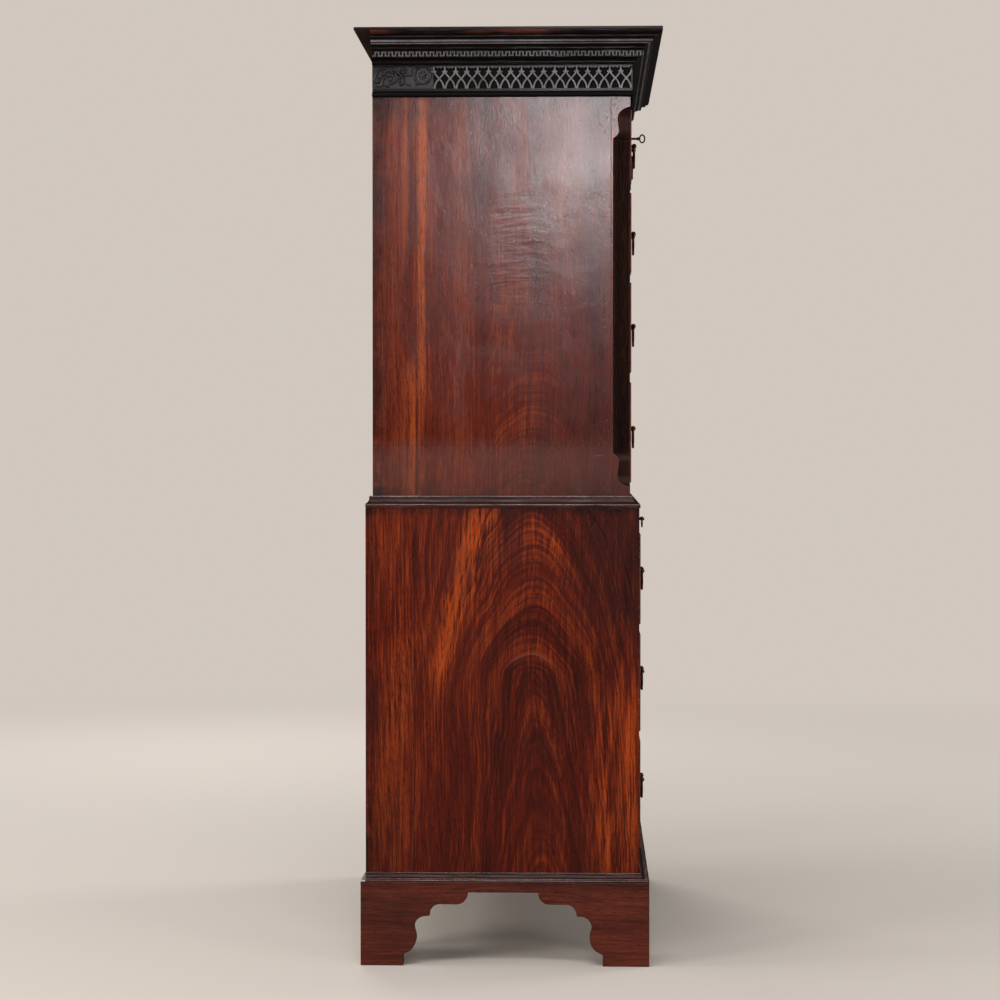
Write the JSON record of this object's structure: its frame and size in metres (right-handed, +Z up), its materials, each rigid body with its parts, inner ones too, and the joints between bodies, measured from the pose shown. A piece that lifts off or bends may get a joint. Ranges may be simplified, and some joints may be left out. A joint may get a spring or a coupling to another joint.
{
  "type": "chest on chest",
  "caption": "Mahogany chest on chest with a dentil cornice over a fretted frieze, canted corners, graduated drawers, a brushing slide, swan-neck bail handles and bracket feet.",
  "frame": {"origin": "on the floor under the middle of the whole outline, which the cornice and its top board set", "axes": "+Z up; -Y towards the drawer fronts; +X to the right of a person who faces the drawers"},
  "size_m": [1.164, 0.603, 1.841],
  "materials": {
    "mahogany": "french polish",
    "figured_mahogany": "french polish",
    "oak": "bare, aged",
    "pine": "bare, aged",
    "brass": "aged, hand polished",
    "steel": "dark, worn"
  },
  "bodies": {
    "case": {"upper_left_side": "mahogany", "upper_right_side": "mahogany", "upper_corner_posts": "mahogany", "upper_frame": "mahogany", "upper_back_boards": "pine", "lower_left_side": "mahogany", "lower_right_side": "mahogany", "lower_frame": "mahogany", "lower_back_boards": "pine", "bracket_base": "mahogany", "frieze": "mahogany", "cornice": "mahogany", "waist_moulding": "mahogany", "base_moulding": "mahogany", "cornice_top_board": "pine"},
    "left_short_drawer": {"left_short_drawer_front": "figured_mahogany", "left_short_drawer_box": "oak", "left_short_drawer_brasses": "brass"},
    "left_short_drawer_left_bail": {"left_short_drawer_left_bail": "brass"},
    "left_short_drawer_right_bail": {"left_short_drawer_right_bail": "brass"},
    "right_short_drawer": {"right_short_drawer_front": "figured_mahogany", "right_short_drawer_box": "oak", "right_short_drawer_brasses": "brass"},
    "right_short_drawer_left_bail": {"right_short_drawer_left_bail": "brass"},
    "right_short_drawer_right_bail": {"right_short_drawer_right_bail": "brass"},
    "upper_top_drawer": {"upper_top_drawer_front": "figured_mahogany", "upper_top_drawer_box": "oak", "upper_top_drawer_brasses": "brass"},
    "upper_top_drawer_left_bail": {"upper_top_drawer_left_bail": "brass"},
    "upper_top_drawer_right_bail": {"upper_top_drawer_right_bail": "brass"},
    "upper_middle_drawer": {"upper_middle_drawer_front": "figured_mahogany", "upper_middle_drawer_box": "oak", "upper_middle_drawer_brasses": "brass"},
    "upper_middle_drawer_left_bail": {"upper_middle_drawer_left_bail": "brass"},
    "upper_middle_drawer_right_bail": {"upper_middle_drawer_right_bail": "brass"},
    "upper_bottom_drawer": {"upper_bottom_drawer_front": "figured_mahogany", "upper_bottom_drawer_box": "oak", "upper_bottom_drawer_brasses": "brass"},
    "upper_bottom_drawer_left_bail": {"upper_bottom_drawer_left_bail": "brass"},
    "upper_bottom_drawer_right_bail": {"upper_bottom_drawer_right_bail": "brass"},
    "lower_top_drawer": {"lower_top_drawer_front": "figured_mahogany", "lower_top_drawer_box": "oak", "lower_top_drawer_brasses": "brass"},
    "lower_top_drawer_left_bail": {"lower_top_drawer_left_bail": "brass"},
    "lower_top_drawer_right_bail": {"lower_top_drawer_right_bail": "brass"},
    "lower_middle_drawer": {"lower_middle_drawer_front": "figured_mahogany", "lower_middle_drawer_box": "oak", "lower_middle_drawer_brasses": "brass"},
    "lower_middle_drawer_left_bail": {"lower_middle_drawer_left_bail": "brass"},
    "lower_middle_drawer_right_bail": {"lower_middle_drawer_right_bail": "brass"},
    "lower_bottom_drawer": {"lower_bottom_drawer_front": "figured_mahogany", "lower_bottom_drawer_box": "oak", "lower_bottom_drawer_brasses": "brass"},
    "lower_bottom_drawer_left_bail": {"lower_bottom_drawer_left_bail": "brass"},
    "lower_bottom_drawer_right_bail": {"lower_bottom_drawer_right_bail": "brass"},
    "brushing_slide": {"brushing_slide": "mahogany", "brushing_slide_brasses": "brass"},
    "brushing_slide_left_bail": {"brushing_slide_left_bail": "brass"},
    "brushing_slide_right_bail": {"brushing_slide_right_bail": "brass"},
    "drawer_key": {"drawer_key": "steel"}
  },
  "joints": [
    {"name": "left_short_drawer_slide", "type": "slide", "parent": "case", "child": "left_short_drawer", "axis": [0, -1, 0], "range_m": [0, 0.36]},
    {"name": "left_short_drawer_left_bail_swing", "type": "hinge", "parent": "left_short_drawer", "child": "left_short_drawer_left_bail", "pos_m": [-0.3595, -0.249, 1.627], "axis": [-1, 0, 0], "range_deg": [0, 100]},
    {"name": "left_short_drawer_right_bail_swing", "type": "hinge", "parent": "left_short_drawer", "child": "left_short_drawer_right_bail", "pos_m": [-0.1235, -0.249, 1.627], "axis": [-1, 0, 0], "range_deg": [0, 100]},
    {"name": "right_short_drawer_slide", "type": "slide", "parent": "case", "child": "right_short_drawer", "axis": [0, -1, 0], "range_m": [0, 0.36]},
    {"name": "right_short_drawer_left_bail_swing", "type": "hinge", "parent": "right_short_drawer", "child": "right_short_drawer_left_bail", "pos_m": [0.1235, -0.249, 1.627], "axis": [-1, 0, 0], "range_deg": [0, 100]},
    {"name": "right_short_drawer_right_bail_swing", "type": "hinge", "parent": "right_short_drawer", "child": "right_short_drawer_right_bail", "pos_m": [0.3595, -0.249, 1.627], "axis": [-1, 0, 0], "range_deg": [0, 100]},
    {"name": "upper_top_drawer_slide", "type": "slide", "parent": "case", "child": "upper_top_drawer", "axis": [0, -1, 0], "range_m": [0, 0.36]},
    {"name": "upper_top_drawer_left_bail_swing", "type": "hinge", "parent": "upper_top_drawer", "child": "upper_top_drawer_left_bail", "pos_m": [-0.29, -0.249, 1.456], "axis": [-1, 0, 0], "range_deg": [0, 100]},
    {"name": "upper_top_drawer_right_bail_swing", "type": "hinge", "parent": "upper_top_drawer", "child": "upper_top_drawer_right_bail", "pos_m": [0.29, -0.249, 1.456], "axis": [-1, 0, 0], "range_deg": [0, 100]},
    {"name": "upper_middle_drawer_slide", "type": "slide", "parent": "case", "child": "upper_middle_drawer", "axis": [0, -1, 0], "range_m": [0, 0.36]},
    {"name": "upper_middle_drawer_left_bail_swing", "type": "hinge", "parent": "upper_middle_drawer", "child": "upper_middle_drawer_left_bail", "pos_m": [-0.29, -0.249, 1.268], "axis": [-1, 0, 0], "range_deg": [0, 100]},
    {"name": "upper_middle_drawer_right_bail_swing", "type": "hinge", "parent": "upper_middle_drawer", "child": "upper_middle_drawer_right_bail", "pos_m": [0.29, -0.249, 1.268], "axis": [-1, 0, 0], "range_deg": [0, 100]},
    {"name": "upper_bottom_drawer_slide", "type": "slide", "parent": "case", "child": "upper_bottom_drawer", "axis": [0, -1, 0], "range_m": [0, 0.36]},
    {"name": "upper_bottom_drawer_left_bail_swing", "type": "hinge", "parent": "upper_bottom_drawer", "child": "upper_bottom_drawer_left_bail", "pos_m": [-0.29, -0.249, 1.0595], "axis": [-1, 0, 0], "range_deg": [0, 100]},
    {"name": "upper_bottom_drawer_right_bail_swing", "type": "hinge", "parent": "upper_bottom_drawer", "child": "upper_bottom_drawer_right_bail", "pos_m": [0.29, -0.249, 1.0595], "axis": [-1, 0, 0], "range_deg": [0, 100]},
    {"name": "lower_top_drawer_slide", "type": "slide", "parent": "case", "child": "lower_top_drawer", "axis": [0, -1, 0], "range_m": [0, 0.39]},
    {"name": "lower_top_drawer_left_bail_swing", "type": "hinge", "parent": "lower_top_drawer", "child": "lower_top_drawer_left_bail", "pos_m": [-0.315, -0.267, 0.77], "axis": [-1, 0, 0], "range_deg": [0, 100]},
    {"name": "lower_top_drawer_right_bail_swing", "type": "hinge", "parent": "lower_top_drawer", "child": "lower_top_drawer_right_bail", "pos_m": [0.315, -0.267, 0.77], "axis": [-1, 0, 0], "range_deg": [0, 100]},
    {"name": "lower_middle_drawer_slide", "type": "slide", "parent": "case", "child": "lower_middle_drawer", "axis": [0, -1, 0], "range_m": [0, 0.39]},
    {"name": "lower_middle_drawer_left_bail_swing", "type": "hinge", "parent": "lower_middle_drawer", "child": "lower_middle_drawer_left_bail", "pos_m": [-0.315, -0.267, 0.565], "axis": [-1, 0, 0], "range_deg": [0, 100]},
    {"name": "lower_middle_drawer_right_bail_swing", "type": "hinge", "parent": "lower_middle_drawer", "child": "lower_middle_drawer_right_bail", "pos_m": [0.315, -0.267, 0.565], "axis": [-1, 0, 0], "range_deg": [0, 100]},
    {"name": "lower_bottom_drawer_slide", "type": "slide", "parent": "case", "child": "lower_bottom_drawer", "axis": [0, -1, 0], "range_m": [0, 0.39]},
    {"name": "lower_bottom_drawer_left_bail_swing", "type": "hinge", "parent": "lower_bottom_drawer", "child": "lower_bottom_drawer_left_bail", "pos_m": [-0.315, -0.267, 0.344], "axis": [-1, 0, 0], "range_deg": [0, 100]},
    {"name": "lower_bottom_drawer_right_bail_swing", "type": "hinge", "parent": "lower_bottom_drawer", "child": "lower_bottom_drawer_right_bail", "pos_m": [0.315, -0.267, 0.344], "axis": [-1, 0, 0], "range_deg": [0, 100]},
    {"name": "brushing_slide_travel", "type": "slide", "parent": "case", "child": "brushing_slide", "axis": [0, -1, 0], "range_m": [0, 0.3]},
    {"name": "brushing_slide_left_bail_swing", "type": "hinge", "parent": "brushing_slide", "child": "brushing_slide_left_bail", "pos_m": [-0.315, -0.267, 0.875], "axis": [-1, 0, 0], "range_deg": [0, 100]},
    {"name": "brushing_slide_right_bail_swing", "type": "hinge", "parent": "brushing_slide", "child": "brushing_slide_right_bail", "pos_m": [0.315, -0.267, 0.875], "axis": [-1, 0, 0], "range_deg": [0, 100]},
    {"name": "drawer_key_turn", "type": "hinge", "parent": "left_short_drawer", "child": "drawer_key", "pos_m": [-0.2415, -0.2395, 1.659], "axis": [0, -1, 0], "range_deg": [0, 180]}
  ]
}
